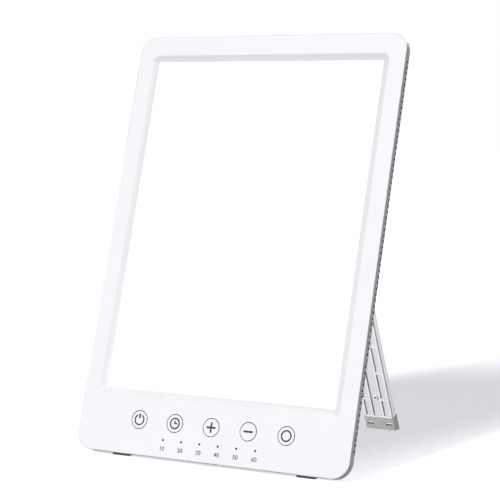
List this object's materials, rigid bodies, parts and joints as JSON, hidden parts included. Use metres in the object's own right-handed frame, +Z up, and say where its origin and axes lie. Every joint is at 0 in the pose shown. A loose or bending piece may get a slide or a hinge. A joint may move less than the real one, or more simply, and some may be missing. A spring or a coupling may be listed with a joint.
{
  "type": "light therapy lamp",
  "caption": "Thin rounded panel lamp with a lit window, a row of push buttons and timer lights, standing on rubber feet and fold-out rear legs.",
  "frame": {"origin": "centre of the bounding box's footprint, on the surface that the lamp stands on", "axes": "+Z up, +X to the right seen from the front, -Y towards the user, who faces the lit window"},
  "size_m": [0.21, 0.186, 0.2877],
  "materials": {
    "shell": "satin white moulding",
    "button": "satin white moulding with printed symbol",
    "leg_plastic": "satin white moulding",
    "diffuser": "milky, lit from behind",
    "film": "clear film",
    "light_guide": "clear acrylic",
    "reflector": "white film",
    "aluminium": "rolled sheet",
    "led_board": "white solder mask",
    "led_chip": "phosphor cap",
    "board": "green solder mask",
    "switch_body": "black moulding",
    "indicator": "clear lens",
    "light_pipe": "smoked clear moulding",
    "wire": "insulated lead",
    "steel": "plated",
    "foot_rubber": "matt dark rubber",
    "boot_rubber": "matt grey rubber"
  },
  "bodies": {
    "panel": {"front_frame": "shell", "diffuser_plate": "diffuser", "prism_film": "film", "light_guide_plate": "light_guide", "reflector_sheet": "reflector", "back_plate": "aluminium", "left_led_strip": "led_board", "right_led_strip": "led_board", "left_led_chips": "led_chip", "right_led_chips": "led_chip", "rear_cover": "shell", "control_board": "board", "tact_switches": "switch_body", "indicator_leds": "indicator", "light_pipes": "light_pipe", "board_components": "switch_body", "dc_jack": "switch_body", "jack_leads": "wire", "led_leads": "wire", "case_screws": "steel", "board_screws": "steel", "plate_screws": "steel", "left_foot_pad": "foot_rubber", "right_foot_pad": "foot_rubber", "left_hinge_pin": "steel", "right_hinge_pin": "steel", "hinge_washers": "steel"},
    "left_leg": {"left_leg": "leg_plastic", "left_leg_boot": "boot_rubber"},
    "right_leg": {"right_leg": "leg_plastic", "right_leg_boot": "boot_rubber"},
    "power_button": {"power_button": "button", "power_plunger": "steel"},
    "timer_button": {"timer_button": "button", "timer_plunger": "steel"},
    "plus_button": {"plus_button": "button", "plus_plunger": "steel"},
    "minus_button": {"minus_button": "button", "minus_plunger": "steel"},
    "mode_button": {"mode_button": "button", "mode_plunger": "steel"}
  },
  "joints": [
    {"name": "left_leg_hinge", "type": "hinge", "parent": "panel", "child": "left_leg", "pos_m": [-0.044, -0.01267, 0.22003], "axis": [1, 0, 0], "range_deg": [-41.8, 0]},
    {"name": "right_leg_hinge", "type": "hinge", "parent": "panel", "child": "right_leg", "pos_m": [0.044, -0.01267, 0.22003], "axis": [1, 0, 0], "range_deg": [-41.8, 0]},
    {"name": "power_press", "type": "slide", "parent": "panel", "child": "power_button", "axis": [0, 0.9553, -0.2957], "range_m": [0, 0.0008], "stiffness_N_per_m": 300, "springref_m": -0.001},
    {"name": "timer_press", "type": "slide", "parent": "panel", "child": "timer_button", "axis": [0, 0.9553, -0.2957], "range_m": [0, 0.0008], "stiffness_N_per_m": 300, "springref_m": -0.001},
    {"name": "plus_press", "type": "slide", "parent": "panel", "child": "plus_button", "axis": [0, 0.9553, -0.2957], "range_m": [0, 0.0008], "stiffness_N_per_m": 300, "springref_m": -0.001},
    {"name": "minus_press", "type": "slide", "parent": "panel", "child": "minus_button", "axis": [0, 0.9553, -0.2957], "range_m": [0, 0.0008], "stiffness_N_per_m": 300, "springref_m": -0.001},
    {"name": "mode_press", "type": "slide", "parent": "panel", "child": "mode_button", "axis": [0, 0.9553, -0.2957], "range_m": [0, 0.0008], "stiffness_N_per_m": 300, "springref_m": -0.001}
  ]
}
